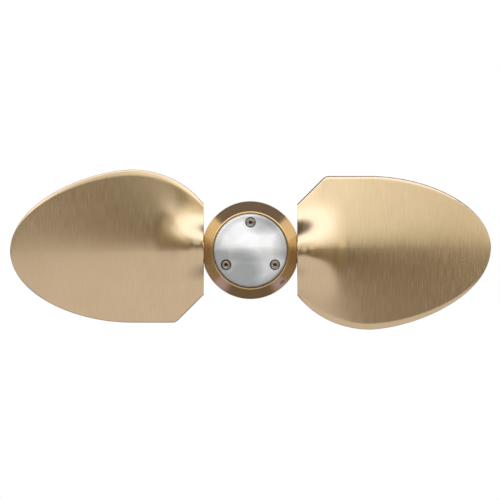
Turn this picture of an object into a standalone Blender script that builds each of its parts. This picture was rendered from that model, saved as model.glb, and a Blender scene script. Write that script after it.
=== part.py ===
"""Two-blade feathering propeller for a sailing vessel, left-handed, at its ahead stop.

Sizes are in metres. +Y points forward along the shaft, +Z is up and the blades
reach out along X. The origin is the centre of the drive boss's forward face.
"""

import math

import bmesh
import bpy
from mathutils import Matrix, Vector

# Shared sizes
PROPELLER_RADIUS = 0.2032
HUB_RADIUS = 0.0408
FIT_GAP = 0.0003
ROUND_STEPS = 72
SMALL_STEPS = 20
SEAT_STEPS = 48
SHARP_ANGLE = math.radians(32)

# Stations along the shaft, all aft of the boss face
HOUSING_FORE_Y = -0.006
PITCH_AXIS_Y = -0.042
HOUSING_AFT_Y = -0.0675
CAP_SHOULDER_Y = -0.0731
CAP_LAND_Y = -0.0842

# Drive boss, seal, washer and nut
BOSS_RADIUS = 0.017
BOSS_FLANGE_RADIUS = 0.0215
BOSS_FLANGE_THICKNESS = 0.003
BOSS_LENGTH = 0.060
BORE_RADIUS = 0.0127
BORE_TAPER = 1 / 32
KEYWAY_WIDTH = 0.0064
KEYWAY_DEPTH = 0.0032
SEAL_RADIUS = 0.0200
NUT_CAVITY_RADIUS = 0.0185
NUT_CAVITY_OVERLAP = 0.0005
NUT_RADIUS = 0.0165
NUT_HEIGHT = 0.0095
NUT_THREAD_RADIUS = 0.0095
WASHER_RADIUS = 0.0168
WASHER_THICKNESS = 0.0012

# Housing
HOUSING_FACE_RADIUS = 0.0345
HOUSING_SHOULDER = 0.014
SHOULDER_STEPS = 8
FLAT_X = 0.0384
CUT_REACH = 0.004

# Cap and anode
LAND_OUTER_RADIUS = 0.0321
LAND_INNER_RADIUS = 0.0308
CAP_WEB = 0.007
EDGE_BREAK = 0.0004
ANODE_RADIUS = 0.0304
ANODE_EDGE_RISE = 0.0024
ANODE_DOME = 0.0050
ANODE_ROUND = 0.0026
DOME_STEPS = 8
RIM_STEPS = 4

# Blade spindle and its seat
SPINDLE_INNER_X = 0.0195
SPINDLE_FLANGE_RADIUS = 0.0150
SPINDLE_FLANGE_X = 0.0259
SPINDLE_RADIUS = 0.0112
SPINDLE_ROOT_OVERLAP = 0.004
SEAT_INNER_X = 0.015
RING_RADIUS = 0.0129
RING_INNER_X = 0.0363
RING_OUTER_X = 0.0391

# Blade outline, seen from aft; the leading side is positive
ROOT_X = 0.0396
ROOT_HALF_WIDTH = 0.0384
CORNER_X = 0.0633
SHOULDER_X = 0.1031
LEADING_WIDTH = 0.0621
LEADING_FULLNESS = 1.85
TRAILING_WIDTH = 0.0676
TRAILING_PEAK_X = 0.1010
TRAILING_ROOT_REACH = 0.0750
TRAILING_FULLNESS = 1.6
TIP_OFFSET = 0.0017

# Blade section: two flanks that meet in a rounded ridge and end in a narrow bevel, on a boss that
# fades out along the span
BLADE_PITCH = math.radians(5)
EDGE_HALF_THICKNESS = 0.0013
LEADING_RIM_SHARE = 0.50
LEADING_BEVEL_START = 0.970
TRAILING_RIM_SHARE = 0.35
TRAILING_BEVEL_START = 0.935
RIDGE_HEIGHT = 0.0088
RIDGE_FADE = 0.75
RIDGE_ROOT_LOSS = 0.38
RIDGE_ROOT_ROUND = 0.012
RIDGE_TIP_ROUND = 0.020
RIDGE_BOW = 0.0014
BOSS_HEIGHT = 0.0098
BOSS_FADE = 2.4
BOSS_SPAN = 0.043
BOSS_WIDTH = 0.0200
BOSS_FLARE = 0.012
FLARE_GROWTH = 1.3
BOSS_FULLNESS = 3.2
FLANK_STEPS = 12
BEVEL_STEPS = 2
ROOT_STEPS = 7
MID_STEPS = 9
TIP_STEPS = 16
BLADE_SHARP_ANGLE = math.radians(50)

# Screws: head radius, head height, shank radius, key radius
ANODE_SCREW = (0.0035, 0.0040, 0.0020, 0.0017)
HOUSING_SCREW = (0.00425, 0.0050, 0.0025, 0.0023)
ANODE_SCREW_CIRCLE = 0.0234
ANODE_SCREW_SINK = 0.0012
ANODE_SCREW_LENGTH = 0.0135
ANODE_COUNTERBORE = 0.0045
HOUSING_SCREW_CIRCLE = 0.027
HOUSING_SCREW_SINK = 0.0005
HOUSING_SCREW_LENGTH = 0.048
LOCK_SCREW_RADIUS = 0.0018
LOCK_SCREW_CIRCLE = 0.0374
LOCK_SCREW_LENGTH = 0.0070
PLUG_RADIUS = 0.0040
PLUG_Y = -0.029
PLUG_LENGTH = 0.007
PLUG_SINK = 0.0007
KEY_DEPTH = 0.55
GRUB_KEY_SHARE = 0.55
GRUB_KEY_DEPTH = 0.4
HOLE_REACH = 0.010
ANODE_SCREW_ANGLES = (90, 210, 330)
HOUSING_SCREW_ANGLES = (50, 90, 130, 230, 270, 310)
LOCK_SCREW_ANGLE = 315

AFT = Vector((0, -1, 0))
FORWARD = Vector((0, 1, 0))


def clear_scene():
    for obj in list(bpy.data.objects):
        bpy.data.objects.remove(obj, do_unlink=True)


def finish(name, colour, metallic, roughness):
    """A Principled material for one sub-part."""
    material = bpy.data.materials.new(name)
    material.use_nodes = True
    shader = material.node_tree.nodes["Principled BSDF"]
    shader.inputs["Base Color"].default_value = (*colour, 1)
    shader.inputs["Metallic"].default_value = metallic
    shader.inputs["Roughness"].default_value = roughness
    material.diffuse_color = (*colour, 1)
    return material


def bronze(name):
    return finish(name, (0.68, 0.52, 0.33), 1.0, 0.3)


def zinc(name):
    return finish(name, (0.72, 0.74, 0.73), 1.0, 0.35)


def steel(name):
    return finish(name, (0.55, 0.54, 0.50), 1.0, 0.3)


def rubber(name):
    return finish(name, (0.05, 0.045, 0.04), 0.0, 0.6)


def piece(name, bm, material, sharp_angle=SHARP_ANGLE):
    """Turns a bmesh into a smooth-shaded object with its own material."""
    bmesh.ops.recalc_face_normals(bm, faces=bm.faces)
    mesh = bpy.data.meshes.new(name)
    bm.to_mesh(mesh)
    bm.free()
    mesh.shade_smooth()
    mesh.set_sharp_from_angle(angle=sharp_angle)
    if material:
        mesh.materials.append(material)
    obj = bpy.data.objects.new(name, mesh)
    bpy.context.scene.collection.objects.link(obj)
    return obj


def turned(profile, axis, steps=ROUND_STEPS):
    """A bmesh spun round an axis from (along, radius) points listed round the outline."""
    places = {
        "X": lambda along, radius: (along, 0, radius),
        "Y": lambda along, radius: (radius, along, 0),
        "Z": lambda along, radius: (radius, 0, along),
    }
    turn = {"X": (1, 0, 0), "Y": (0, 1, 0), "Z": (0, 0, 1)}[axis]
    bm = bmesh.new()
    points = [bm.verts.new(places[axis](along, radius)) for along, radius in profile]
    edges = []
    for index, (along, radius) in enumerate(profile):
        other = (index + 1) % len(profile)
        if radius > 0 or profile[other][1] > 0:
            edges.append(bm.edges.new((points[index], points[other])))
    bmesh.ops.spin(
        bm, geom=points + edges, cent=(0, 0, 0), axis=turn, angle=math.tau, steps=steps, use_merge=True
    )
    bmesh.ops.remove_doubles(bm, verts=bm.verts, dist=1e-6)
    bmesh.ops.recalc_face_normals(bm, faces=bm.faces)
    return bm


def eased(profile, size, corners):
    """Breaks the listed corners of a turned profile with a small flat."""
    points = []
    for index, corner in enumerate(profile):
        if index not in corners:
            points.append(corner)
            continue
        here = Vector(corner)
        for neighbour in (profile[index - 1], profile[(index + 1) % len(profile)]):
            step = (Vector(neighbour) - here).normalized() * size
            points.append(tuple(here + step))
    return points


def prism(radius, low, high, sides=6):
    """A bmesh prism along Z."""
    bm = bmesh.new()
    place = Matrix.Translation((0, 0, (low + high) / 2))
    bmesh.ops.create_cone(
        bm, cap_ends=True, segments=sides, radius1=radius, radius2=radius, depth=high - low, matrix=place
    )
    return bm


def copies(bm, places):
    """One bmesh with a copy of bm at each of the given matrices."""
    source = bpy.data.meshes.new("copy_source")
    bm.to_mesh(source)
    bm.free()
    joined = bmesh.new()
    for place in places:
        placed = source.copy()
        placed.transform(place)
        joined.from_mesh(placed)
        bpy.data.meshes.remove(placed)
    bpy.data.meshes.remove(source)
    return joined


def combine(obj, bm, operation):
    """Cuts bm from obj, or joins it on, and keeps the result as obj's own mesh."""
    tool = piece("tool", bm, None)
    modifier = obj.modifiers.new("combine", "BOOLEAN")
    modifier.operation = operation
    modifier.solver = "EXACT"
    modifier.object = tool
    graph = bpy.context.evaluated_depsgraph_get()
    result = bpy.data.meshes.new_from_object(obj.evaluated_get(graph))
    obj.modifiers.clear()
    old = obj.data
    obj.data = result
    result.name = old.name + "_cut"
    bpy.data.meshes.remove(old)
    bpy.data.objects.remove(tool, do_unlink=True)
    obj.data.shade_smooth()
    obj.data.set_sharp_from_angle(angle=SHARP_ANGLE)


def cut(obj, bm):
    combine(obj, bm, "DIFFERENCE")


def facing(point, direction):
    """A matrix that puts local +Z along direction at point."""
    turn = direction.to_track_quat("Z", "Y").to_matrix().to_4x4()
    return Matrix.Translation(point) @ turn


def on_circle(radius, angle, along):
    """A point on a circle round the shaft, with 0 degrees at +X and 90 at +Z."""
    turn = math.radians(angle)
    return Vector((radius * math.cos(turn), along, radius * math.sin(turn)))


def socket_screw(name, sizes, length, places, names):
    """Like socket screws that share one mesh, each with its seat at a place's origin."""
    head_radius, head_height, shank_radius, key_radius = sizes
    profile = [
        (-length, 0),
        (-length, shank_radius),
        (0, shank_radius),
        (0, head_radius),
        (head_height, head_radius),
        (head_height, 0),
    ]
    first = piece(name, turned(eased(profile, EDGE_BREAK, (4,)), "Z", SMALL_STEPS), steel(name))
    cut(first, prism(key_radius, head_height * (1 - KEY_DEPTH), head_height + CUT_REACH))
    first.name = names[0]
    for copy_name in names[1:]:
        twin = bpy.data.objects.new(copy_name, first.data)
        bpy.context.scene.collection.objects.link(twin)
    for place, screw_name in zip(places, names):
        bpy.data.objects[screw_name].matrix_world = place


def grub_screw(name, radius, length, place, material):
    """A headless socket screw with its outer end at the place's origin."""
    profile = [(-length, 0), (-length, radius), (0, radius), (0, 0)]
    screw = piece(name, turned(eased(profile, EDGE_BREAK / 2, (2,)), "Z", SMALL_STEPS), material)
    cut(screw, prism(radius * GRUB_KEY_SHARE, -length * GRUB_KEY_DEPTH, CUT_REACH))
    screw.matrix_world = place


def screw_hole(sizes, length, bore):
    """A cutter for a screw: its shank with clearance and a counterbore open outwards."""
    shank = sizes[2] + FIT_GAP
    profile = [
        (-length - FIT_GAP, 0),
        (-length - FIT_GAP, shank),
        (-FIT_GAP, shank),
        (-FIT_GAP, bore),
        (HOLE_REACH, bore),
        (HOLE_REACH, 0),
    ]
    return turned(profile, "Z", SMALL_STEPS)


def plug_hole(radius, length):
    """A cutter for a headless screw, open outwards."""
    bore = radius + FIT_GAP
    inner = -length - FIT_GAP
    return turned([(inner, 0), (inner, bore), (CUT_REACH, bore), (CUT_REACH, 0)], "Z", SMALL_STEPS)


def block(low, high):
    """A bmesh box between two corners."""
    bm = bmesh.new()
    size = Vector(high) - Vector(low)
    middle = (Vector(high) + Vector(low)) / 2
    bmesh.ops.create_cube(bm, size=1, matrix=Matrix.Translation(middle) @ Matrix.Diagonal((*size, 1)))
    return bm


def side_flats():
    """The cutter for the flats that the blade roots turn against."""
    beyond = HUB_RADIUS + CUT_REACH
    right = block((FLAT_X, CAP_LAND_Y - CUT_REACH, -beyond), (beyond, CUT_REACH, beyond))
    return copies(right, (Matrix(), Matrix.Rotation(math.pi, 4, "Y")))


def spindle_seat():
    """The cutter for both blade seats: flange cavity, spindle bore and ring seat."""
    beyond = HUB_RADIUS + CUT_REACH
    cavity = SPINDLE_FLANGE_RADIUS + FIT_GAP
    bore = SPINDLE_RADIUS + FIT_GAP
    ring_seat = RING_RADIUS + FIT_GAP
    profile = [
        (SEAT_INNER_X, 0),
        (SEAT_INNER_X, cavity),
        (SPINDLE_FLANGE_X + FIT_GAP, cavity),
        (SPINDLE_FLANGE_X + FIT_GAP, bore),
        (RING_INNER_X - FIT_GAP, bore),
        (RING_INNER_X - FIT_GAP, ring_seat),
        (beyond, ring_seat),
        (beyond, 0),
    ]
    right = Matrix.Translation((0, PITCH_AXIS_Y, 0))
    left = right @ Matrix.Rotation(math.pi, 4, "Y")
    return copies(turned(profile, "X", SEAT_STEPS), (right, left))


def housing_screw_places():
    seat = HOUSING_FORE_Y - HOUSING_SCREW_SINK - HOUSING_SCREW[1]
    points = [on_circle(HOUSING_SCREW_CIRCLE, angle, seat) for angle in HOUSING_SCREW_ANGLES]
    return [facing(point, FORWARD) for point in points]


def plug_places():
    reach = HUB_RADIUS - PLUG_SINK
    return [facing(Vector((0, PLUG_Y, side * reach)), Vector((0, 0, side))) for side in (1, -1)]


def hub_fore_half():
    """The forward half of the housing, with its rounded shoulder and screw seats."""
    face_y = HOUSING_FORE_Y
    shoulder_y = face_y - HOUSING_SHOULDER
    drop = HUB_RADIUS - HOUSING_FACE_RADIUS
    bore = BOSS_RADIUS + FIT_GAP
    part_y = PITCH_AXIS_Y + FIT_GAP / 2
    curve = []
    for step in range(SHOULDER_STEPS + 1):
        turn = math.pi / 2 * step / SHOULDER_STEPS
        along = shoulder_y + HOUSING_SHOULDER * math.sin(turn)
        curve.append((along, HUB_RADIUS - drop * (1 - math.cos(turn))))
    profile = [(part_y, bore), (part_y, HUB_RADIUS), *curve, (face_y, bore)]
    half = piece("hub_fore_half", turned(profile, "Y"), bronze("hub_fore_half"))
    cut(half, side_flats())
    cut(half, spindle_seat())
    hole = screw_hole(HOUSING_SCREW, HOUSING_SCREW_LENGTH, HOUSING_SCREW[0] + FIT_GAP)
    cut(half, copies(hole, housing_screw_places()))
    cut(half, copies(plug_hole(PLUG_RADIUS, PLUG_LENGTH), plug_places()))


def hub_aft_half():
    """The aft half of the housing, with the nut cavity in its end."""
    bore = BOSS_RADIUS + FIT_GAP
    part_y = PITCH_AXIS_Y - FIT_GAP / 2
    cavity_y = -BOSS_LENGTH + NUT_CAVITY_OVERLAP
    profile = [
        (part_y, bore),
        (cavity_y, bore),
        (cavity_y, NUT_CAVITY_RADIUS),
        (HOUSING_AFT_Y, NUT_CAVITY_RADIUS),
        (HOUSING_AFT_Y, HUB_RADIUS),
        (part_y, HUB_RADIUS),
    ]
    half = piece("hub_aft_half", turned(profile, "Y"), bronze("hub_aft_half"))
    cut(half, side_flats())
    cut(half, spindle_seat())
    hole = screw_hole(HOUSING_SCREW, HOUSING_SCREW_LENGTH, HOUSING_SCREW[0] + FIT_GAP)
    cut(half, copies(hole, housing_screw_places()))


def anode_seat_y():
    return HOUSING_AFT_Y - FIT_GAP - CAP_WEB


def anode_height(radius):
    """How far aft the anode's domed face lies at a distance from the axis."""
    edge = CAP_LAND_Y - ANODE_EDGE_RISE
    return edge - ANODE_DOME * (1 - (radius / ANODE_RADIUS) ** 2)


def anode_screw_places():
    seat = anode_height(ANODE_SCREW_CIRCLE) + ANODE_SCREW_SINK + ANODE_SCREW[1]
    points = [on_circle(ANODE_SCREW_CIRCLE, angle, seat) for angle in ANODE_SCREW_ANGLES]
    return [facing(point, AFT) for point in points]


def lock_screw_place():
    """On the cap's chamfer, square to it."""
    depth = CAP_SHOULDER_Y - CAP_LAND_Y
    width = HUB_RADIUS - LAND_OUTER_RADIUS
    along = CAP_LAND_Y + (LOCK_SCREW_CIRCLE - LAND_OUTER_RADIUS) * depth / width
    outward = on_circle(1, LOCK_SCREW_ANGLE, 0) * depth + AFT * width
    outward.normalize()
    point = on_circle(LOCK_SCREW_CIRCLE, LOCK_SCREW_ANGLE, along)
    return facing(point - outward * PLUG_SINK, outward)


def hub_cap():
    """The chamfered ring round the anode, with a web that the anode is bolted to."""
    fore_y = HOUSING_AFT_Y - FIT_GAP
    profile = [
        (fore_y, NUT_CAVITY_RADIUS),
        (anode_seat_y(), NUT_CAVITY_RADIUS),
        (anode_seat_y(), LAND_INNER_RADIUS),
        (CAP_LAND_Y, LAND_INNER_RADIUS),
        (CAP_LAND_Y, LAND_OUTER_RADIUS),
        (CAP_SHOULDER_Y, HUB_RADIUS),
        (fore_y, HUB_RADIUS),
    ]
    cap = piece("hub_cap", turned(eased(profile, EDGE_BREAK, (3, 4, 5)), "Y"), bronze("hub_cap"))
    cut(cap, side_flats())
    hole = screw_hole(ANODE_SCREW, ANODE_SCREW_LENGTH, ANODE_COUNTERBORE)
    cut(cap, copies(hole, anode_screw_places()))
    cut(cap, copies(plug_hole(LOCK_SCREW_RADIUS, LOCK_SCREW_LENGTH), (lock_screw_place(),)))


def anode():
    """The domed zinc disc, with a rounded rim and three counterbored screw holes."""
    seat_y = anode_seat_y() - FIT_GAP
    flat_radius = ANODE_RADIUS - ANODE_ROUND
    dome = [(anode_height(0), 0)]
    for step in range(1, DOME_STEPS + 1):
        radius = flat_radius * step / DOME_STEPS
        dome.append((anode_height(radius), radius))
    rim_y = anode_height(flat_radius) + ANODE_ROUND
    for step in range(1, RIM_STEPS + 1):
        turn = math.pi / 2 * step / RIM_STEPS
        dome.append(
            (rim_y - ANODE_ROUND * math.cos(turn), flat_radius + ANODE_ROUND * math.sin(turn))
        )
    profile = [*dome, (seat_y, ANODE_RADIUS), (seat_y, 0)]
    disc = piece("anode", turned(profile, "Y"), zinc("anode"))
    hole = screw_hole(ANODE_SCREW, ANODE_SCREW_LENGTH, ANODE_COUNTERBORE)
    cut(disc, copies(hole, anode_screw_places()))


def drive_boss():
    """The tapered boss that sits on the shaft, with its keyway and forward flange."""
    small_radius = BORE_RADIUS - BOSS_LENGTH * BORE_TAPER
    flange_y = -BOSS_FLANGE_THICKNESS
    profile = [
        (0, BORE_RADIUS),
        (-BOSS_LENGTH, small_radius),
        (-BOSS_LENGTH, BOSS_RADIUS),
        (flange_y, BOSS_RADIUS),
        (flange_y, BOSS_FLANGE_RADIUS),
        (0, BOSS_FLANGE_RADIUS),
    ]
    boss = piece("drive_boss", turned(eased(profile, EDGE_BREAK, (5,)), "Y"), bronze("drive_boss"))
    side = KEYWAY_WIDTH / 2
    aft_end = -BOSS_LENGTH - CUT_REACH
    cut(boss, block((-side, aft_end, 0), (side, CUT_REACH, BORE_RADIUS + KEYWAY_DEPTH)))


def boss_seal():
    """The dark ring between the boss flange and the housing."""
    fore_y = -BOSS_FLANGE_THICKNESS - FIT_GAP
    aft_y = HOUSING_FORE_Y + FIT_GAP
    bore = BOSS_RADIUS + FIT_GAP
    profile = [(fore_y, bore), (aft_y, bore), (aft_y, SEAL_RADIUS), (fore_y, SEAL_RADIUS)]
    piece("boss_seal_ring", turned(profile, "Y"), rubber("boss_seal_ring"))


def tab_washer():
    fore_y = -BOSS_LENGTH - FIT_GAP
    aft_y = fore_y - WASHER_THICKNESS
    profile = [
        (fore_y, NUT_THREAD_RADIUS),
        (aft_y, NUT_THREAD_RADIUS),
        (aft_y, WASHER_RADIUS),
        (fore_y, WASHER_RADIUS),
    ]
    piece("nut_tab_washer", turned(profile, "Y", SEAT_STEPS), steel("nut_tab_washer"))


def shaft_nut():
    """The hexagon nut that draws the boss up the shaft's taper."""
    fore_y = -BOSS_LENGTH - 2 * FIT_GAP - WASHER_THICKNESS
    bm = prism(NUT_RADIUS, 0, NUT_HEIGHT)
    nut = piece("shaft_nut", bm, bronze("shaft_nut"))
    cut(nut, prism(NUT_THREAD_RADIUS, -CUT_REACH, NUT_HEIGHT + CUT_REACH, SEAT_STEPS))
    nut.matrix_world = facing(Vector((0, fore_y, 0)), AFT)


def leading_edge(x):
    """Distance from the pitch axis to the leading edge, seen from aft."""
    if x <= CORNER_X:
        share = (x - ROOT_X) / (CORNER_X - ROOT_X)
        return ROOT_HALF_WIDTH + share * (LEADING_WIDTH - ROOT_HALF_WIDTH)
    if x <= SHOULDER_X:
        return LEADING_WIDTH
    share = (x - SHOULDER_X) / (PROPELLER_RADIUS - SHOULDER_X)
    round_off = max(0.0, 1 - share**LEADING_FULLNESS)
    return TIP_OFFSET + (LEADING_WIDTH - TIP_OFFSET) * math.sqrt(round_off)


def trailing_edge(x):
    """Signed distance from the pitch axis to the trailing edge, seen from aft."""
    if x <= TRAILING_PEAK_X:
        share = (TRAILING_PEAK_X - x) / TRAILING_ROOT_REACH
        return -TRAILING_WIDTH * math.sqrt(1 - share**2)
    share = (x - TRAILING_PEAK_X) / (PROPELLER_RADIUS - TRAILING_PEAK_X)
    round_off = max(0.0, 1 - share**TRAILING_FULLNESS)
    return TIP_OFFSET - (TRAILING_WIDTH + TIP_OFFSET) * math.sqrt(round_off)


def span_share(x):
    """0 at the blade's root and 1 at its tip."""
    return (x - ROOT_X) / (PROPELLER_RADIUS - ROOT_X)


def ridge_line(x):
    """Distance of the ridge from the pitch axis, seen from aft."""
    span = span_share(x)
    return TIP_OFFSET * span + RIDGE_BOW * math.sin(math.pi * span)


def ridge_height(x):
    """How far the ridge stands above the edges, without the boss."""
    near_root = max(0.0, 1 - (x - ROOT_X) / (CORNER_X - ROOT_X))
    root_loss = 1 - RIDGE_ROOT_LOSS * near_root**2
    return RIDGE_HEIGHT * (1 - span_share(x)) ** RIDGE_FADE * root_loss


def boss_height(x, across):
    """The swelling that carries the blade over to its spindle."""
    share = min(1.0, (x - ROOT_X) / BOSS_SPAN)
    width = BOSS_WIDTH + BOSS_FLARE * share**FLARE_GROWTH
    return BOSS_HEIGHT * (1 - share**2) ** BOSS_FADE * math.exp(-(abs(across / width) ** BOSS_FULLNESS))


def bevel_of(side_width):
    """Where the bevel starts on a side, and the share of its thickness left at the rim."""
    if side_width > 0:
        return LEADING_BEVEL_START, LEADING_RIM_SHARE
    return TRAILING_BEVEL_START, TRAILING_RIM_SHARE


def half_thickness(x, across, side_width, side_place):
    """Half the blade's thickness, where side_place is 0 on the ridge and 1 at an edge.

    The side's width is positive on the leading side and negative on the trailing one.
    """
    bevel_start, rim_share = bevel_of(side_width)
    bevel = max(0.0, (side_place - bevel_start) / (1 - bevel_start))
    edge = EDGE_HALF_THICKNESS * (1 - (1 - rim_share) * bevel)
    rounding = RIDGE_ROOT_ROUND + (RIDGE_TIP_ROUND - RIDGE_ROOT_ROUND) * span_share(x)
    whole = math.hypot(side_width, rounding)
    flank = (whole - math.hypot(side_width * side_place, rounding)) / (whole - rounding)
    return edge + ridge_height(x) * flank + boss_height(x, across)


def blade_stations():
    """Distances from the shaft where the blade's sections are drawn, without the tip."""
    root = [ROOT_X + (CORNER_X - ROOT_X) * step / ROOT_STEPS for step in range(ROOT_STEPS)]
    mid = [CORNER_X + (SHOULDER_X - CORNER_X) * step / MID_STEPS for step in range(MID_STEPS)]
    reach = PROPELLER_RADIUS - SHOULDER_X
    tip = [
        SHOULDER_X + reach * math.sin(math.pi / 2 * step / TIP_STEPS) for step in range(TIP_STEPS)
    ]
    return root + mid + tip


def side_places(side_width):
    """Shares of a side's width where its points lie, from the ridge to the edge."""
    start, _ = bevel_of(side_width)
    turns = [math.pi * step / FLANK_STEPS for step in range(FLANK_STEPS + 1)]
    flank = [start * (1 - math.cos(turn)) / 2 for turn in turns]
    bevel = [start + (1 - start) * step / BEVEL_STEPS for step in range(1, BEVEL_STEPS + 1)]
    return flank + bevel


def blade_section(x):
    """Aft and forward points of one section, from the trailing to the leading edge."""
    ridge = ridge_line(x)
    trailing = trailing_edge(x) - ridge
    leading = leading_edge(x) - ridge
    crossings = [(trailing, place) for place in reversed(side_places(trailing))]
    crossings += [(leading, place) for place in side_places(leading)[1:]]
    aft = []
    fore = []
    for width, place in crossings:
        across = ridge + width * place
        middle = math.tan(BLADE_PITCH) * across
        half = half_thickness(x, across, width, place)
        aft.append((x, middle - half, across))
        fore.append((x, middle + half, across))
    return aft, fore


def blade_foil():
    """The blade without its spindle: sections joined edge to edge and closed at the tip."""
    bm = bmesh.new()
    rings = []
    for x in blade_stations():
        aft, fore = blade_section(x)
        rings.append([bm.verts.new(point) for point in aft + fore[::-1]])
    count = len(rings[0])
    for inner, outer in zip(rings, rings[1:]):
        for index in range(count):
            other = (index + 1) % count
            bm.faces.new((inner[index], inner[other], outer[other], outer[index]))
    root = rings[0]
    for index in range(count // 2 - 1):
        mirror = count - 1 - index
        bm.faces.new((root[index], root[index + 1], root[mirror - 1], root[mirror]))
    tip = bm.verts.new((PROPELLER_RADIUS, math.tan(BLADE_PITCH) * TIP_OFFSET, TIP_OFFSET))
    for index in range(count):
        bm.faces.new((rings[-1][index], rings[-1][(index + 1) % count], tip))
    bmesh.ops.recalc_face_normals(bm, faces=bm.faces)
    return bm


def spindle():
    """The turned spindle with the flange that keeps the blade in the housing."""
    profile = [
        (SPINDLE_INNER_X, 0),
        (SPINDLE_INNER_X, SPINDLE_FLANGE_RADIUS),
        (SPINDLE_FLANGE_X, SPINDLE_FLANGE_RADIUS),
        (SPINDLE_FLANGE_X, SPINDLE_RADIUS),
        (ROOT_X + SPINDLE_ROOT_OVERLAP, SPINDLE_RADIUS),
        (ROOT_X + SPINDLE_ROOT_OVERLAP, 0),
    ]
    return turned(profile, "X", SEAT_STEPS)


def blades():
    """Both blades from one mesh; the left one is the right one turned half round the shaft."""
    right = piece("blade_right", blade_foil(), bronze("blade_right"))
    combine(right, spindle(), "UNION")
    right.data.set_sharp_from_angle(angle=BLADE_SHARP_ANGLE)
    right.location = (0, PITCH_AXIS_Y, 0)
    left = bpy.data.objects.new("blade_left", right.data.copy())
    left.data.materials[0] = bronze("blade_left")
    bpy.context.scene.collection.objects.link(left)
    left.location = (0, PITCH_AXIS_Y, 0)
    left.rotation_euler = (0, math.pi, 0)


def seal_rings():
    """The ring that shows as a dark band between each blade root and the hub."""
    bore = SPINDLE_RADIUS + FIT_GAP
    profile = [
        (RING_INNER_X, bore),
        (RING_INNER_X, RING_RADIUS),
        (RING_OUTER_X, RING_RADIUS),
        (RING_OUTER_X, bore),
    ]
    for name, turn in (("seal_ring_right", 0), ("seal_ring_left", math.pi)):
        ring = piece(name, turned(profile, "X", SEAT_STEPS), rubber(name))
        ring.location = (0, PITCH_AXIS_Y, 0)
        ring.rotation_euler = (0, turn, 0)


def screws():
    anode_names = [f"anode_screw_{number}" for number in (1, 2, 3)]
    socket_screw("anode_screw", ANODE_SCREW, ANODE_SCREW_LENGTH, anode_screw_places(), anode_names)
    housing_names = [f"housing_screw_{number}" for number in range(1, 7)]
    socket_screw(
        "housing_screw", HOUSING_SCREW, HOUSING_SCREW_LENGTH, housing_screw_places(), housing_names
    )
    place = lock_screw_place()
    grub_screw("cap_lock_screw", LOCK_SCREW_RADIUS, LOCK_SCREW_LENGTH, place, steel("cap_lock_screw"))
    for name, place in zip(("grease_plug_top", "grease_plug_bottom"), plug_places()):
        grub_screw(name, PLUG_RADIUS, PLUG_LENGTH, place, steel(name))


def main():
    clear_scene()
    hub_fore_half()
    hub_aft_half()
    hub_cap()
    anode()
    drive_boss()
    boss_seal()
    tab_washer()
    shaft_nut()
    blades()
    seal_rings()
    screws()


main()
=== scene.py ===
"""Looks of a two-blade feathering ship propeller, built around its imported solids.

Metres; +Y points forward along the shaft, +Z is up and the blades reach out along X.
"""

import logging
import math
from dataclasses import dataclass
from enum import Enum
from typing import Any, NamedTuple, Protocol

import bpy
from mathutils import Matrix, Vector


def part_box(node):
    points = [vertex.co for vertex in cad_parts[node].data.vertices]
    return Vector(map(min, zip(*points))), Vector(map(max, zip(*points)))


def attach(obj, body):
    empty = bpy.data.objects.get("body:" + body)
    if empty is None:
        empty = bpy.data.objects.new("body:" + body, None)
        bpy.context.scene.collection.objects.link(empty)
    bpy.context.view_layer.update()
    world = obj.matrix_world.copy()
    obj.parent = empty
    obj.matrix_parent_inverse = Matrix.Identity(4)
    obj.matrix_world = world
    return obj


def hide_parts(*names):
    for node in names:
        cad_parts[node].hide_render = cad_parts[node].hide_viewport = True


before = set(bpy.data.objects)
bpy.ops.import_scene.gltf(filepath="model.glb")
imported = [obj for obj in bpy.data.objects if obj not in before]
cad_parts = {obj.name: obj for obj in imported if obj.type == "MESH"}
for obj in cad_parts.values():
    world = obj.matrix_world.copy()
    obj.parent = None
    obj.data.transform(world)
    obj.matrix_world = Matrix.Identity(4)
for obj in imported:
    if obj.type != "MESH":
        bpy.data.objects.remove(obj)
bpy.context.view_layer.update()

logging.basicConfig(level=logging.INFO, format="%(message)s")
log = logging.getLogger("propeller")

Colour = tuple[float, float, float]
Triple = tuple[float, float, float]
# Two values that become 0 and 1, and the four corners of a rise and a fall.
Span = tuple[float, float]
Window = tuple[float, float, float, float]

# The parts of a noise that are stretched to 0 to 1 for tones and for roughness.
TONE_SPAN: Span = (0.3, 0.7)
ROUGH_SPAN: Span = (0.25, 0.75)

FULL_TURN = 360.0
WELD_DISTANCE = 2e-6

# The light of the studio's patches.
GLOW: Colour = (0.95, 0.90, 0.78)
DUSK: Colour = (0.33, 0.29, 0.22)


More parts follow.
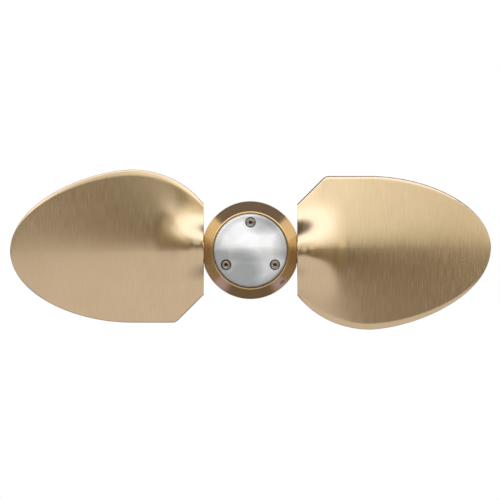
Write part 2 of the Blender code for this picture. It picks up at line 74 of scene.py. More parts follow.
class Wire:
    """One output socket, with arithmetic that adds Math nodes to its tree."""

    def __init__(self, nodes: "Nodes", socket: bpy.types.NodeSocket) -> None:
        """Wraps a socket of one node tree.

        Args:
            nodes: the tree that the socket belongs to.
            socket: the output to wrap.
        """
        self.nodes = nodes
        self.socket = socket

    def math(self, operation: str, *values: "Wire | float") -> "Wire":
        """Puts this value first into a Math node.

        Args:
            operation: the Math node's operation.
            values: the node's other inputs.

        Returns:
            The node's result.
        """
        numbers = dict(enumerate((self, *values)))
        return self.nodes.node("ShaderNodeMath", {"operation": operation}, numbers)

    def __add__(self, other: "Wire | float") -> "Wire":
        """The sum."""
        return self.math("ADD", other)

    __radd__ = __add__

    def __mul__(self, other: "Wire | float") -> "Wire":
        """The product."""
        return self.math("MULTIPLY", other)

    __rmul__ = __mul__

    def __sub__(self, other: "Wire | float") -> "Wire":
        """The difference."""
        return self.math("SUBTRACT", other)

    def __rsub__(self, other: float) -> "Wire":
        """The difference from a plain number."""
        return (self * -1.0) + other

    def stretched(self, low: float, high: float) -> "Wire":
        """Maps low to high onto 0 to 1, clamped.

        Args:
            low: the value that becomes 0.
            high: the value that becomes 1.

        Returns:
            The clamped result.
        """
        share = {0: self, 1: low, 2: high, 3: 0.0, 4: 1.0}
        return self.nodes.node("ShaderNodeMapRange", {"clamp": True}, share)

    def window(self, start: float, full: float, fade: float, end: float) -> "Wire":
        """Rises from 0 to 1, stays there and falls back to 0.

        Args:
            start: the value at which it leaves 0.
            full: the value at which it reaches 1.
            fade: the value at which it leaves 1.
            end: the value at which it is back at 0.

        Returns:
            The clamped result.
        """
        return self.stretched(start, full) * (1 - self.stretched(fade, end))

    def spread(self, middle: "Wire | float", width: float) -> "Wire":
        """Spreads 0 to 1 evenly round a middle value.

        Args:
            middle: what 0.5 becomes.
            width: how far apart 0 and 1 come to lie.

        Returns:
            The spread value.
        """
        return (self * width) + (middle - width / 2)

    def blended(self, other: "Wire", share: float) -> "Wire":
        """Adds the given share of this value to the rest of another."""
        return (self * share) + (other * (1 - share))


class Nodes:
    """A node tree under construction."""

    def __init__(self, tree: bpy.types.NodeTree) -> None:
        """Works on a material's or the world's tree.

        Args:
            tree: the tree that gets the nodes.
        """
        self.tree = tree

    def node(
        self,
        kind: str,
        settings: dict[str, Any] | None = None,
        sockets: dict[Any, Any] | None = None,
        output: int | str = 0,
    ) -> Wire:
        """Adds a node: first its settings, then the values or links of its sockets.

        Args:
            kind: the node's type.
            settings: its properties; "stops" fills a colour ramp.
            sockets: values or wires by socket name or number.
            output: which output to hand back.

        Returns:
            The chosen output.
        """
        made = self.tree.nodes.new(kind)
        for key, value in (settings or {}).items():
            if key == "stops":
                self.fill_ramp(made, value)
            else:
                setattr(made, key, value)
        for key, value in (sockets or {}).items():
            if isinstance(value, Wire):
                self.tree.links.new(value.socket, made.inputs[key])
            else:
                made.inputs[key].default_value = value
        return Wire(self, made.outputs[output])

    @staticmethod
    def fill_ramp(ramp: bpy.types.Node, stops: list[tuple[float, Colour]]) -> None:
        """Sets the stops of a colour ramp.

        Args:
            ramp: the ramp node.
            stops: places from 0 to 1 with their colours.
        """
        elements = ramp.color_ramp.elements
        while len(elements) < len(stops):
            elements.new(1.0)
        for element, (place, colour) in zip(elements, stops):
            element.position = place
            element.color = (*colour, 1.0)

    def parts_of(self, vector: Wire) -> tuple[Wire, Wire, Wire]:
        """Splits a vector.

        Args:
            vector: the vector to split.

        Returns:
            Its x, y and z.
        """
        made = self.node("ShaderNodeSeparateXYZ", None, {0: vector})
        outputs = made.socket.node.outputs
        return Wire(self, outputs[0]), Wire(self, outputs[1]), Wire(self, outputs[2])

    def vector(self, x: Wire | float, y: Wire | float, z: Wire | float) -> Wire:
        """Joins three values into a vector."""
        return self.node("ShaderNodeCombineXYZ", None, {0: x, 1: y, 2: z})

    def noise(self, vector: Wire, scale: float = 1.0, detail: float = 2.0) -> Wire:
        """Smooth noise from 0 to 1.

        Args:
            vector: where it is read.
            scale: cells per unit of the vector.
            detail: how many finer layers it has.

        Returns:
            The noise value.
        """
        sockets = {"Vector": vector, "Scale": scale, "Detail": detail}
        return self.node("ShaderNodeTexNoise", {"noise_dimensions": "3D"}, sockets)

    def mix(
        self, share: Wire | float, first: Colour | Wire, second: Colour | Wire
    ) -> Wire:
        """Blends two colours.

        Args:
            share: 0 for the first, 1 for the second.
            first: a colour or a wire.
            second: a colour or a wire.

        Returns:
            The blended colour.
        """
        ends = [
            one if isinstance(one, Wire) else (*one, 1.0) for one in (first, second)
        ]
        sockets = {0: share, 6: ends[0], 7: ends[1]}
        return self.node("ShaderNodeMix", {"data_type": "RGBA"}, sockets, 2)


class Paint(Nodes):
    """A material under construction, with one Principled shader."""

    def __init__(self, name: str) -> None:
        """Starts a material.

        Args:
            name: the material's name.
        """
        self.material = bpy.data.materials.new(name)
        self.material.use_nodes = True
        super().__init__(self.material.node_tree)
        self.shader = self.tree.nodes["Principled BSDF"]

    def position(self) -> Wire:
        """The point on the piece, in metres from its own origin."""
        return self.node("ShaderNodeTexCoord", output="Object")

    def streaks(self, scale: Triple, detail: float = 2.0) -> Wire:
        """Noise with a scale of its own along each axis.

        Args:
            scale: cells per metre along x, y and z.
            detail: how many finer layers it has.

        Returns:
            The noise value.
        """
        parts = zip(self.parts_of(self.position()), scale)
        scaled = self.vector(*(part * size for part, size in parts))
        return self.noise(scaled, detail=detail)

    def bump(self, height: Wire, depth: float) -> Wire:
        """Turns a height from 0 to 1 into a normal.

        Args:
            height: the height map.
            depth: how deep 1 is, in metres.

        Returns:
            The normal.
        """
        sockets = {"Height": height, "Distance": depth, "Strength": 1.0}
        return self.node("ShaderNodeBump", None, sockets)

    def wear(self, **sockets: Any) -> bpy.types.Material:
        """Sets the shader's sockets, with underscores for spaces.

        Args:
            sockets: values or wires by socket name.

        Returns:
            The finished material.
        """
        for key, value in sockets.items():
            target = self.shader.inputs[key.replace("_", " ")]
            if isinstance(value, Wire):
                self.tree.links.new(value.socket, target)
            else:
                target.default_value = value
        return self.material


def axis_distance(x: Wire, z: Wire) -> Wire:
    """The distance from the shaft axis."""
    return ((x * x) + (z * z)).math("SQRT")


def toned(colour: Colour, factor: float) -> Colour:
    """The colour made darker or lighter by a factor."""
    red, green, blue = colour
    return (red * factor, green * factor, blue * factor)


class Finish(Protocol):
    """Anything that can make the material of a piece.

    In the finishes below, depths, widths and places are in metres, and each scale is the
    number of a noise's cells in one metre.
    """

    def material(self, name: str) -> bpy.types.Material:
        """Makes the material under the given name."""


@dataclass(frozen=True)
class BrushedBronze:
    """Bronze brushed across the blade, from its leading to its trailing edge.

    The scratches lose depth towards the tip, where the metal is duller, and the narrow
    edge faces, turned away from fore and aft, get painted shade.
    """

    light: Colour = (0.86, 0.668, 0.415)
    dark: Colour = (0.75, 0.570, 0.335)
    # The painted shade of the narrow edge faces, and how far they turn from facing fore and
    # aft before they get it.
    edge: Colour = (0.30, 0.225, 0.145)
    edge_shade_facing: Span = (0.30, 0.80)
    root_roughness: float = 0.20
    tip_roughness: float = 0.27
    root_x: float = 0.05
    tip_x: float = 0.19
    scratch_scale: Triple = (1 / 0.00030, 60.0, 40.0)
    scratch_depth: float = 0.000012
    scratch_loss: float = 0.75
    streak_scale: Triple = (1250.0, 20.0, 75.0)
    streak_share: float = 0.6
    streak_depth: float = 0.08
    cloud_scale: float = 22.0

    def material(self, name: str) -> bpy.types.Material:
        """Makes the material.

        Args:
            name: its name.

        Returns:
            The finished material.
        """
        paint = Paint(name)
        x, _, _ = paint.parts_of(paint.position())
        fine = paint.streaks(self.scratch_scale)
        streak = paint.streaks(self.streak_scale, detail=4.0)
        cloud = paint.noise(paint.position(), self.cloud_scale, detail=3.0)
        tone = streak.stretched(*TONE_SPAN).blended(
            cloud.stretched(*TONE_SPAN), self.streak_share
        )
        outward = x.math("ABSOLUTE").stretched(self.root_x, self.tip_x)
        rough = outward * (self.tip_roughness - self.root_roughness) + self.root_roughness
        _, facing, _ = paint.parts_of(paint.node("ShaderNodeTexCoord", output="Normal"))
        # Painted shade: darker where the surface turns away from facing fore and aft, at the
        # blade's narrow edges.
        rim = 1 - facing.math("ABSOLUTE").stretched(*self.edge_shade_facing)
        scratches = fine * (1 - outward * self.scratch_loss)
        return paint.wear(
            Base_Color=paint.mix(rim, paint.mix(tone, self.dark, self.light), self.edge),
            Metallic=1.0,
            Roughness=streak.stretched(*ROUGH_SPAN).spread(rough, self.streak_depth),
            Normal=paint.bump(scratches, self.scratch_depth),
        )


@dataclass(frozen=True)
class TurnedBronze:
    """Bronze turned on a lathe round the shaft axis."""

    light: Colour = (0.86, 0.595, 0.29)
    dark: Colour = (0.76, 0.50, 0.225)
    roughness: float = 0.17
    groove_depth: float = 0.000012
    groove_width: float = 0.00028
    band_scale: float = 900.0
    band_layer: float = 0.5
    band_share: float = 0.6
    band_depth: float = 0.08
    cloud_scale: float = 60.0

    def material(self, name: str) -> bpy.types.Material:
        """Makes the material.

        Args:
            name: its name.

        Returns:
            The finished material.
        """
        paint = Paint(name)
        x, y, z = paint.parts_of(paint.position())
        radius = axis_distance(x, z)
        per_metre = 1 / self.groove_width
        ring = paint.noise(paint.vector(radius * per_metre, y * per_metre, 0.0))
        scale = self.band_scale
        turns = paint.vector(radius * scale, y * scale, self.band_layer)
        band = paint.noise(turns, detail=3.0)
        cloud = paint.noise(paint.position(), self.cloud_scale, detail=3.0)
        tone = band.stretched(*TONE_SPAN).blended(
            cloud.stretched(*TONE_SPAN), self.band_share
        )
        rough = band.stretched(*ROUGH_SPAN).spread(self.roughness, self.band_depth)
        return paint.wear(
            Base_Color=paint.mix(tone, self.dark, self.light),
            Metallic=1.0,
            Roughness=rough,
            Normal=paint.bump(ring, self.groove_depth),
        )


class ShadeCloud(NamedTuple):
    """A patch of painted shade: its centre, half sizes in metres, and strength."""

    across: float
    up: float
    half_width: float
    half_height: float
    strength: float


@dataclass(frozen=True)
class CastZinc:
    """Pale satin zinc with a random mottle, darkened with painted shade in clouds and
    towards its rim.
    """

    light: Colour = (0.96, 0.97, 0.955)
    dull_and_shaded: Colour = (0.36, 0.375, 0.36)
    metallic: float = 0.40
    clean_roughness: float = 0.25
    dull_roughness: float = 0.35
    mottle_scale: float = 160.0
    mottle_share: float = 0.16
    grain_scale: float = 1500.0
    grain_share: float = 0.4
    grain_depth: float = 0.000015
    cloud_raggedness: float = 0.5
    cloud_fade: Span = (0.2, 1.9)
    # The patches of painted shade on the disc's face.
    shade_clouds: tuple[ShadeCloud, ...] = (
        ShadeCloud(0.0110, 0.0210, 0.0140, 0.0072, 0.70),
        ShadeCloud(-0.0120, -0.0145, 0.0190, 0.0165, 0.80),
        ShadeCloud(0.0060, -0.0230, 0.0200, 0.0150, 0.50),
        ShadeCloud(0.0040, -0.0030, 0.0300, 0.0055, 0.42),
        ShadeCloud(-0.0265, -0.0030, 0.0075, 0.0105, 0.45),
        ShadeCloud(0.0255, 0.0030, 0.0065, 0.0115, 0.35),
    )
    # Painted shade towards the disc's rim: where it starts and is full, and its strength.
    rim: Span = (0.0235, 0.0310)
    rim_shade_strength: float = 0.50

    def material(self, name: str) -> bpy.types.Material:
        """Makes the material.

        Args:
            name: its name.

        Returns:
            The finished material.
        """
        paint = Paint(name)
        place = paint.position()
        x, _, z = paint.parts_of(place)
        mottle = paint.noise(place, self.mottle_scale, detail=4.0)
        grain = paint.noise(place, self.grain_scale)
        # Painted shade: darker towards the rim and in each cloud; only the mottle is the
        # zinc's own tone.
        painted_shade = axis_distance(x, z).stretched(*self.rim) * self.rim_shade_strength
        for cloud in self.shade_clouds:
            across = (x - cloud.across) * (1 / cloud.half_width)
            up = (z - cloud.up) * (1 / cloud.half_height)
            reach = ((across * across) + (up * up)) + (mottle * self.cloud_raggedness)
            painted_shade = painted_shade + (1 - reach.stretched(*self.cloud_fade)) * cloud.strength
        share = mottle.stretched(*TONE_SPAN) * self.mottle_share + painted_shade
        share = share.math("MINIMUM", 1.0)
        rougher = self.dull_roughness - self.clean_roughness
        return paint.wear(
            Base_Color=paint.mix(share, self.light, self.dull_and_shaded),
            Metallic=self.metallic,
            Roughness=share * rougher + self.clean_roughness,
            Normal=paint.bump(grain.blended(mottle, self.grain_share), self.grain_depth),
        )


@dataclass(frozen=True)
class StainlessSteel:
    """Bright steel of the screws, with painted shade below the rim of an aft-facing socket.
    """

    colour: Colour = (0.74, 0.67, 0.55)
    # The colour of the painted shade inside the socket.
    deep: Colour = (0.07, 0.055, 0.04)
    stain_tone: float = 0.7
    stain: Span = (0.35, 0.75)
    speck_scale: float = 900.0
    roughness: float = 0.22
    roughness_spread: float = 0.2
    socket_y: float | None = None
    socket_fade: float = 0.0010

    def material(self, name: str) -> bpy.types.Material:
        """Makes the material.

        Args:
            name: its name.

        Returns:
            The finished material.
        """
        paint = Paint(name)
        speck = paint.noise(paint.position(), self.speck_scale, detail=3.0)
        stained = toned(self.colour, self.stain_tone)
        colour = paint.mix(speck.stretched(*self.stain), self.colour, stained)
        if self.socket_y is not None:
            # Painted shade: the socket darkens below its rim.
            _, y, _ = paint.parts_of(paint.position())
            socket_shade = y.stretched(self.socket_y, self.socket_y + self.socket_fade)
            colour = paint.mix(socket_shade, colour, self.deep)
        return paint.wear(
            Base_Color=colour,
            Metallic=1.0,
            Roughness=speck.spread(self.roughness, self.roughness_spread),
        )


@dataclass(frozen=True)
class SealRubber:
    """Dark rubber of the seals, with a paler bloom."""

    colour: Colour = (0.03, 0.022, 0.018)
    bloom_tone: float = 1.8
    bloom_scale: float = 400.0
    roughness: float = 0.55
    roughness_spread: float = 0.2

    def material(self, name: str) -> bpy.types.Material:
        """Makes the material.

        Args:
            name: its name.

        Returns:
            The finished material.
        """
        paint = Paint(name)
        bloom = paint.noise(paint.position(), self.bloom_scale)
        pale = toned(self.colour, self.bloom_tone)
        return paint.wear(
            Base_Color=paint.mix(bloom, self.colour, pale),
            Roughness=bloom.spread(self.roughness, self.roughness_spread),
        )


class Slot(Enum):
    """The record's material slots."""

    BRONZE = "bronze"
    ZINC = "zinc"
    STEEL = "steel"
    RUBBER = "rubber"


def deselect() -> None:
    """Leaves nothing selected, in object mode."""
    if bpy.context.object and bpy.context.object.mode != "OBJECT":
        bpy.ops.object.mode_set(mode="OBJECT")
    for obj in bpy.context.selected_objects:
        obj.select_set(False)


def work_on(piece: bpy.types.Object) -> None:
    """Makes one piece the only selected and the active one.

    Args:
        piece: the piece to work on.
    """
    deselect()
    piece.select_set(True)
    bpy.context.view_layer.objects.active = piece


def edit_all(piece: bpy.types.Object) -> None:
    """Opens one piece in edit mode, with all of its mesh selected.

    Args:
        piece: the piece to edit.
    """
    work_on(piece)
    bpy.ops.object.mode_set(mode="EDIT")
    bpy.ops.mesh.select_all(action="SELECT")


def apply_all(piece: bpy.types.Object) -> None:
    """Applies every modifier of a piece, in order.

    Args:
        piece: the piece that has them.
    """
    work_on(piece)
    for modifier in list(piece.modifiers):
        bpy.ops.object.modifier_apply(modifier=modifier.name)


def welded_copy(node: str, name: str) -> bpy.types.Object:
    """Copies a solid's mesh and joins its loose triangles.

    Args:
        node: the solid to copy.
        name: the new piece's name.

    Returns:
        The new piece, which replaces nothing yet.
    """
    piece = bpy.data.objects.new(name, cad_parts[node].data.copy())
    bpy.context.scene.collection.objects.link(piece)
    piece.data.materials.clear()
    edit_all(piece)
    bpy.ops.mesh.customdata_custom_splitnormals_clear()
    bpy.ops.mesh.remove_doubles(threshold=WELD_DISTANCE)
    bpy.ops.object.mode_set(mode="OBJECT")
    return piece


def settle(
    piece: bpy.types.Object, node: str, body: str, finish: Finish
) -> bpy.types.Object:
    """Dresses a finished piece and puts it in the place of its solid.

    Args:
        piece: the finished piece.
        node: the solid that it stands for.
        body: the body that it rides on.
        finish: what it is made of.

    Returns:
        The same piece.
    """
    piece.data.materials.append(finish.material(piece.name))
    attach(piece, body)
    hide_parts(node)
    log.info("%s: %d faces, rides on %s", piece.name, len(piece.data.polygons), body)
    return piece


@dataclass
class Blade:
    """One blade with its spindle, smoothed from its solid.

    root_x is how far from the shaft axis the blade's root lies, and its rim starts at rim_x.
    The flare is how far the blade's faces rise at the root, beyond flare_start from the
    spindle, and flare_reach is how far out the rise goes.
    """

    side: str
    quad_bend: float = math.radians(30)
    quad_skew: float = math.radians(60)
    crease_angle: float = math.radians(38)
    smooth_angle: float = math.radians(50)
    smoothing_levels: int = 2
    root_x: float = 0.0396
    root_slack: float = 0.00001
    rim_x: float = 0.0397
    rim_crease: float = 0.15
    flare: float = 0.0011
    flare_reach: float = 0.0055
    flare_slack: float = 0.01
    flare_start: float = 0.002
    flare_half_height: float = 0.0165
    flare_fall: int = 2
    flare_squareness: int = 4
    spindle_radius: float = 0.0117

    def build(self) -> bpy.types.Object:
        """Smooths the solid's sections into one continuous surface.

        Returns:
            The finished piece.
        """
        node = f"blade_{self.side}"
        piece = welded_copy(node, f"{node}_brushed")
        edit_all(piece)
        bpy.ops.mesh.tris_convert_to_quads(
            face_threshold=self.quad_bend, shape_threshold=self.quad_skew
        )
        bpy.ops.mesh.select_all(action="DESELECT")
        bpy.ops.mesh.select_mode(type="EDGE")
        bpy.ops.mesh.edges_select_sharp(sharpness=self.crease_angle)
        bpy.ops.transform.edge_crease(value=1.0)
        bpy.ops.object.mode_set(mode="OBJECT")
        self.soften_rim(piece)
        smoothing = piece.modifiers.new("smoothing", "SUBSURF")
        smoothing.levels = self.smoothing_levels
        smoothing.render_levels = self.smoothing_levels
        apply_all(piece)
        self.flare_root(piece)
        bpy.ops.object.shade_smooth_by_angle(angle=self.smooth_angle)
        return settle(piece, node, node, BrushedBronze())

    def soften_rim(self, piece: bpy.types.Object) -> None:
        """Lets the rim's corners round off, and keeps those of the root and the spindle.

        Args:
            piece: the creased blade, before it is smoothed.
        """
        vertices = piece.data.vertices
        creases = piece.data.attributes["crease_edge"].data
        for edge in piece.data.edges:
            inner, outer = sorted(abs(vertices[index].co.x) for index in edge.vertices)
            on_blade = inner > self.root_x - self.root_slack and outer > self.rim_x
            if on_blade and creases[edge.index].value > 0:
                creases[edge.index].value = self.rim_crease

    def flare_root(self, piece: bpy.types.Object) -> None:
        """Lets the faces rise a little where the blade runs into its spindle.

        The rise is full at the root and fades outward, and above and below the spindle.

        Args:
            piece: the smoothed blade.
        """
        low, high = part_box(f"seal_ring_{self.side}")
        middle = (low.y + high.y) / 2
        for vertex in piece.data.vertices:
            outward = (abs(vertex.co.x) - self.root_x) / self.flare_reach
            if not -self.flare_slack < outward < 1:
                continue
            away = vertex.co.y - middle
            clear = math.hypot(away, vertex.co.z) - self.spindle_radius
            share = min(max(clear / self.flare_start, 0.0), 1.0)
            share *= (1 - outward) ** self.flare_fall
            height = vertex.co.z / self.flare_half_height
            share *= math.exp(-(height**self.flare_squareness))
            vertex.co.y += math.copysign(self.flare * share, away)
        piece.data.update()


@dataclass
class TurnedPiece:
    """A turned or machined piece of the hub, with its edges broken."""

    node: str
    slot: Slot
    finish: Finish
    edge_break: float = 0.0002
    edge_segments: int = 2
    flat_angle: float = math.radians(0.5)
    bevel_angle: float = math.radians(35)
    smooth_angle: float = math.radians(40)

    def build(self) -> bpy.types.Object:
        """Breaks the solid's sharp edges and smooths its round faces.

        Returns:
            The finished piece.
        """
        piece = welded_copy(self.node, f"{self.node}_finished")
        edit_all(piece)
        bpy.ops.mesh.dissolve_limited(angle_limit=self.flat_angle)
        bpy.ops.object.mode_set(mode="OBJECT")
        edges = piece.modifiers.new("edges", "BEVEL")
        edges.limit_method = "ANGLE"
        edges.angle_limit = self.bevel_angle
        edges.width = self.edge_break
        edges.segments = self.edge_segments
        apply_all(piece)
        bpy.ops.object.shade_smooth_by_angle(angle=self.smooth_angle)
        return settle(piece, self.node, "hub", self.finish)


@dataclass
class Anode:
    """The zinc disc, with its crown a little below the middle of its face."""

    crown_drop: float = math.tan(math.radians(7.0))
    crown_sink: float = 0.0009

    def build(self) -> bpy.types.Object:
        """Shapes the face of the solid's disc.

        Returns:
            The finished piece.
        """
        piece = TurnedPiece("anode", Slot.ZINC, CastZinc()).build()
        low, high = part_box("anode")
        radius = (high.x - low.x) / 2
        middle = low.y + (high.y - low.y) / 2
        for vertex in piece.data.vertices:
            share = 1 - (vertex.co.x**2 + vertex.co.z**2) / radius**2
            if vertex.co.y < middle and share > 0:
                vertex.co.y += (vertex.co.z * self.crown_drop + self.crown_sink) * share
        piece.data.update()
        return piece


class Gaze(NamedTuple):
    """A direction in which the metal sees the studio.

    x is its sideways part, positive to the right, and aside is x without its sign. rise
    is an angle in degrees, from 0 straight to the camera over 90 overhead to 180 behind.
    """

    x: Wire
    aside: Wire
    rise: Wire


class Patch(NamedTuple):
    """Other light in one place of the studio, by its sideways part and its rise."""

    across: Window
    rise: Window
    colour: Colour
    strength: float = 1.0

    def over(self, light: Wire, across: Wire, rise: Wire) -> Wire:
        """Blends the patch over the light behind it.

        Args:
            light: the light behind it.
            across: the sideways part of the direction.
            rise: the direction's rise.

        Returns:
            The blended light.
        """
        share = across.window(*self.across) * rise.window(*self.rise)
        return light.nodes.mix(share * self.strength, light, self.colour)


@dataclass(frozen=True)
class Surroundings:
    """The studio that the metal reflects: soft panels all round, and the pale floor.

    The bands run round the span of the blades. Each is a rise in degrees and the light
    that comes from there. The left half of the studio isn't the mirror image of the right
    one, and the bands are read a few degrees higher towards the ends and in the middle.
    """

    bands: tuple[tuple[float, Colour], ...] = (
        (-180.0, (0.22, 0.20, 0.18)),
        (-166.0, (0.22, 0.20, 0.18)),
        (-160.0, (0.52, 0.50, 0.52)),
        (-148.0, (0.52, 0.50, 0.52)),
        (-140.0, (0.17, 0.15, 0.15)),
        (-92.0, (0.17, 0.15, 0.15)),
        (-80.0, (0.50, 0.48, 0.52)),
        (-60.0, (0.70, 0.68, 0.72)),
        (-11.0, (0.70, 0.68, 0.72)),
        (-3.0, (0.17, 0.13, 0.09)),
        (3.0, (0.082, 0.057, 0.032)),
        (11.0, (0.082, 0.057, 0.032)),
        (19.0, (0.78, 0.78, 0.77)),
        (28.0, (1.10, 1.10, 1.09)),
        (38.0, (1.50, 1.55, 1.80)),
        (61.0, (1.50, 1.55, 1.80)),
        (71.0, (0.12, 0.095, 0.07)),
        (88.0, (0.12, 0.095, 0.07)),
        (98.0, (0.19, 0.18, 0.23)),
        (140.0, (0.19, 0.18, 0.23)),
        (148.0, (1.05, 1.05, 1.07)),
        (162.0, (1.05, 1.05, 1.07)),
        (168.0, (0.22, 0.20, 0.18)),
        (180.0, (0.22, 0.20, 0.18)),
    )
    # The bands' shifts, in degrees, with the places where each of them works.
    side_lift: float = 6.0
    side_span: Span = (0.15, 0.45)
    side_rise: Window = (-21.6, -10.8, 21.6, 36.0)
    middle_lift: float = 10.5
    middle: Window = (-0.15, -0.10, 0.05, 0.12)
    middle_rise: Window = (0.0, 1.8, 10.8, 19.8)
    low_shift: float = 1.5
    low_turn: Span = (-0.06, 0.06)
    low_rise: Window = (-21.6, -16.2, -1.08, 1.08)
    # The shade on both sides of the camera, with a gap just above its middle. It starts
    # farther out on the left.
    beside: Colour = (0.23, 0.18, 0.115)
    beside_span: Span = (0.06, 0.34)
    beside_rise: Window = (-7.2, -3.6, 10.8, 18.0)
    beside_gap: Span = (1.08, 5.4)
    left_delay: float = 0.06
    left_turn: Span = (-0.06, 0.0)
    # The strip hangs on both sides, the patches on one side each.
    strip: Patch = Patch(
        (0.43, 0.56, 0.71, 0.74), (-140.4, -133.2, -95.4, -91.8), (0.43, 0.42, 0.70)
    )
    patches: tuple[Patch, ...] = (
        Patch((0.17, 0.24, 0.42, 0.50), (9.0, 11.52, 19.8, 25.2), GLOW),
        Patch((-0.75, -0.60, -0.30, -0.20), (3.0, 7.0, 12.0, 16.0), GLOW, 0.35),
        Patch((-0.50, -0.36, -0.17, -0.08), (12.0, 17.0, 23.0, 28.0), DUSK, 0.6),
    )
    # The two end walls: where they begin, and how they get lighter upwards.
    ends_span: Span = (0.71, 0.74)
    ends_below: Colour = (0.27, 0.24, 0.22)
    ends_above: Colour = (0.88, 0.86, 0.80)
    ends_turn: Span = (0.04, 0.22)
    # What the camera sees of all this.
    seen: Colour = (1.0, 1.0, 1.0)

    def lift(self, gaze: Gaze) -> Wire:
        """How much higher up the bands are read.

        Args:
            gaze: the direction.

        Returns:
            The degrees to add to its rise.
        """
        x, aside, rise = gaze
        sides = aside.stretched(*self.side_span) * self.side_lift
        sides = sides * rise.window(*self.side_rise)
        middle = x.window(*self.middle) * rise.window(*self.middle_rise)
        sideways = x.stretched(*self.low_turn).spread(0.0, 2.0)
        low = sideways * rise.window(*self.low_rise)
        return sides + middle * self.middle_lift + low * self.low_shift

    def beside_share(self, gaze: Gaze) -> Wire:
        """How much of the shade beside the camera hangs there.

        Args:
            gaze: the direction.

        Returns:
            The share from 0 to 1.
        """
        x, aside, rise = gaze
        gap = x.window(*self.middle) * rise.stretched(*self.beside_gap)
        delay = (1 - x.stretched(*self.left_turn)) * self.left_delay
        level = rise.window(*self.beside_rise) * (1 - gap)
        return (aside - delay).stretched(*self.beside_span) * level

    def hang(self) -> None:
        """Makes them the scene's world; the camera itself sees plain white."""
        world = bpy.data.worlds.new("studio")
        world.use_nodes = True
        nodes = Nodes(world.node_tree)
        x, y, z = nodes.parts_of(nodes.node("ShaderNodeTexCoord", output="Generated"))
        rise = z.math("ARCTAN2", y * -1.0) * math.degrees(1.0)
        gaze = Gaze(x, x.math("ABSOLUTE"), rise)
        stops = [(0.5 + angle / FULL_TURN, colour) for angle, colour in self.bands]
        turn = (rise + self.lift(gaze)) * (1 / FULL_TURN) + 0.5
        light = nodes.node("ShaderNodeValToRGB", {"stops": stops}, {0: turn})
        light = self.strip.over(light, gaze.aside, rise)
        light = nodes.mix(self.beside_share(gaze), light, self.beside)
        for patch in self.patches:
            light = patch.over(light, x, rise)
        ends = nodes.mix(z.stretched(*self.ends_turn), self.ends_below, self.ends_above)
        around = nodes.mix(gaze.aside.stretched(*self.ends_span), light, ends)
        lit = nodes.node("ShaderNodeBackground", None, {0: around})
        plain = nodes.node("ShaderNodeBackground", None, {0: (*self.seen, 1.0)})
        direct = nodes.node("ShaderNodeLightPath", output="Is Camera Ray")
        blend = nodes.node("ShaderNodeMixShader", None, {0: direct, 1: lit, 2: plain})
        nodes.tree.links.new(blend.socket, nodes.tree.nodes["World Output"].inputs[0])
        bpy.context.scene.world = world


@dataclass
class Studio:
    """A pale floor, soft lights and the camera of the photograph."""

    photo_side: int = 500
    span_pixels: float = 481.0
    centre_pixel: tuple[float, float] = (250.5, 249.5)
    camera_rise: float = math.radians(1.1)
    camera_distance: float = 2.4
    sensor_width: float = 36.0
    clip_end: float = 20.0
    floor_height: float = -0.34
    floor_radius: float = 0.65
    floor_corners: int = 96
    floor_shades: tuple[Colour, Colour] = ((0.80, 0.80, 0.80), (0.86, 0.86, 0.86))
    floor_haze_scale: float = 3.0
    floor_roughness: float = 0.8
    fill_height: float = 1.9
    fill_side: float = 1.6
    fill_power: float = 13.0
    front_place: Triple = (-0.9, -1.9, 1.2)
    front_side: float = 0.9
    front_power: float = 30.0
    surroundings: Surroundings = Surroundings()

    def target(self) -> Vector:
        """The point on the shaft where the blades turn."""
        low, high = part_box("seal_ring_right")
        return Vector((0.0, (low.y + high.y) / 2, 0.0))

    def place_camera(self) -> None:
        """Puts the camera where the photograph was taken from."""
        _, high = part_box("blade_right")
        width = 2 * high.x * self.photo_side / self.span_pixels
        data = bpy.data.cameras.new("camera")
        data.sensor_width = self.sensor_width
        data.lens = self.sensor_width * self.camera_distance / width
        data.clip_end = self.clip_end
        middle = self.photo_side / 2
        data.shift_x = (middle - self.centre_pixel[0]) / self.photo_side
        data.shift_y = (self.centre_pixel[1] - middle) / self.photo_side
        camera = bpy.data.objects.new("camera", data)
        away = Vector((0.0, -math.cos(self.camera_rise), math.sin(self.camera_rise)))
        camera.location = self.target() + away * self.camera_distance
        camera.rotation_euler = (-away).to_track_quat("-Z", "Y").to_euler()
        bpy.context.scene.collection.objects.link(camera)
        bpy.context.scene.camera = camera

    def lay_floor(self) -> None:
        """Lays the pale round floor under the propeller."""
        deselect()
        bpy.ops.mesh.primitive_circle_add(
            vertices=self.floor_corners,
            radius=self.floor_radius,
            fill_type="NGON",
            location=(0.0, self.target().y, self.floor_height),
        )
        floor = bpy.context.object
        floor.name = "studio_floor"
        paint = Paint("studio_floor")
        haze = paint.noise(paint.position(), self.floor_haze_scale)
        shade = paint.mix(haze, *self.floor_shades)
        material = paint.wear(Base_Color=shade, Roughness=self.floor_roughness)
        floor.data.materials.append(material)
        floor.visible_glossy = False

    def light(self) -> None:
        """Hangs the surroundings, and two soft lights that the metal doesn't mirror."""
        self.surroundings.hang()
        overhead = Vector((0.0, 0.0, self.fill_height))
        front = Vector(self.front_place)
        self.add_fill("overhead_fill", overhead, self.fill_side, self.fill_power)
        self.add_fill("front_fill", front, self.front_side, self.front_power)
        bpy.context.scene.view_settings.view_transform = "Standard"

    def add_fill(self, name: str, away: Vector, side: float, power: float) -> None:
        """Adds one soft square light that faces the propeller.

        Args:
            name: the light's name.
            away: its place from the target.
            side: its width and height.
            power: its power in watts.
        """
        data = bpy.data.lights.new(name, "AREA")
        data.size = side
        data.energy = power
        lamp = bpy.data.objects.new(name, data)
        lamp.location = self.target() + away
        lamp.rotation_euler = away.to_track_quat("Z", "Y").to_euler()
        lamp.visible_camera = False
        lamp.visible_glossy = False
        bpy.context.scene.collection.objects.link(lamp)

    def build(self) -> None:
        """Sets up the whole studio."""
        self.place_camera()
        self.lay_floor()
        self.light()


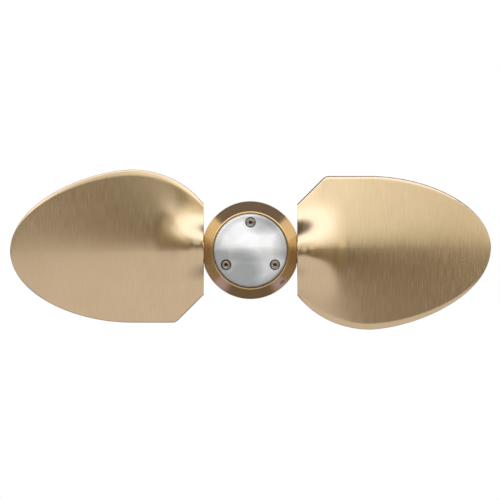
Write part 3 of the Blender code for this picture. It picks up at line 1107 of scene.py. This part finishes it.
@dataclass
class Hub:
    """The round hub: housing, cap, drive boss, nut, screws, seals and the anode."""

    housing_screws: int = 6
    anode_screws: int = 3
    screw_edge_break: float = 0.0001
    socket_rim: float = 0.0006
    cap_smooth_angle: float = math.radians(12)

    def bronze_pieces(self) -> list[TurnedPiece]:
        """The turned bronze pieces, the cap with its chamfer kept crisp.

        Returns:
            The pieces, not built yet.
        """
        bronze = TurnedBronze()
        nodes = ("hub_fore_half", "hub_aft_half", "drive_boss", "shaft_nut")
        pieces = [TurnedPiece(node, Slot.BRONZE, bronze) for node in nodes]
        cap = TurnedPiece(
            "hub_cap", Slot.BRONZE, bronze, smooth_angle=self.cap_smooth_angle
        )
        return [*pieces, cap]

    def screw(self, node: str, steel: StainlessSteel) -> TurnedPiece:
        """A small steel piece, with its edges broken less than the others'."""
        return TurnedPiece(node, Slot.STEEL, steel, self.screw_edge_break)

    def steel_pieces(self) -> list[TurnedPiece]:
        """The steel washer, plugs and screws, the anode's with painted shade in their
        sockets.

        Returns:
            The pieces, not built yet.
        """
        nodes = ["nut_tab_washer", "cap_lock_screw"]
        nodes += [f"grease_plug_{place}" for place in ("top", "bottom")]
        nodes += [f"housing_screw_{index + 1}" for index in range(self.housing_screws)]
        pieces = [self.screw(node, StainlessSteel()) for node in nodes]
        for index in range(self.anode_screws):
            node = f"anode_screw_{index + 1}"
            low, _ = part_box(node)
            # The socket's painted shade starts socket_rim forward of the screw's aft end.
            steel = StainlessSteel(socket_y=low.y + self.socket_rim)
            pieces.append(self.screw(node, steel))
        return pieces

    def seals(self) -> list[TurnedPiece]:
        """The rubber rings round the drive boss and the blades' spindles."""
        nodes = ("boss_seal_ring", "seal_ring_right", "seal_ring_left")
        return [TurnedPiece(node, Slot.RUBBER, SealRubber()) for node in nodes]

    def build(self) -> None:
        """Builds its pieces one after another, and the anode last."""
        for piece in (*self.bronze_pieces(), *self.steel_pieces(), *self.seals()):
            piece.build()
        Anode().build()


def main() -> None:
    """Builds the studio and every piece."""
    Studio().build()
    for side in ("right", "left"):
        Blade(side).build()
    Hub().build()


if __name__ == "__main__":
    main()
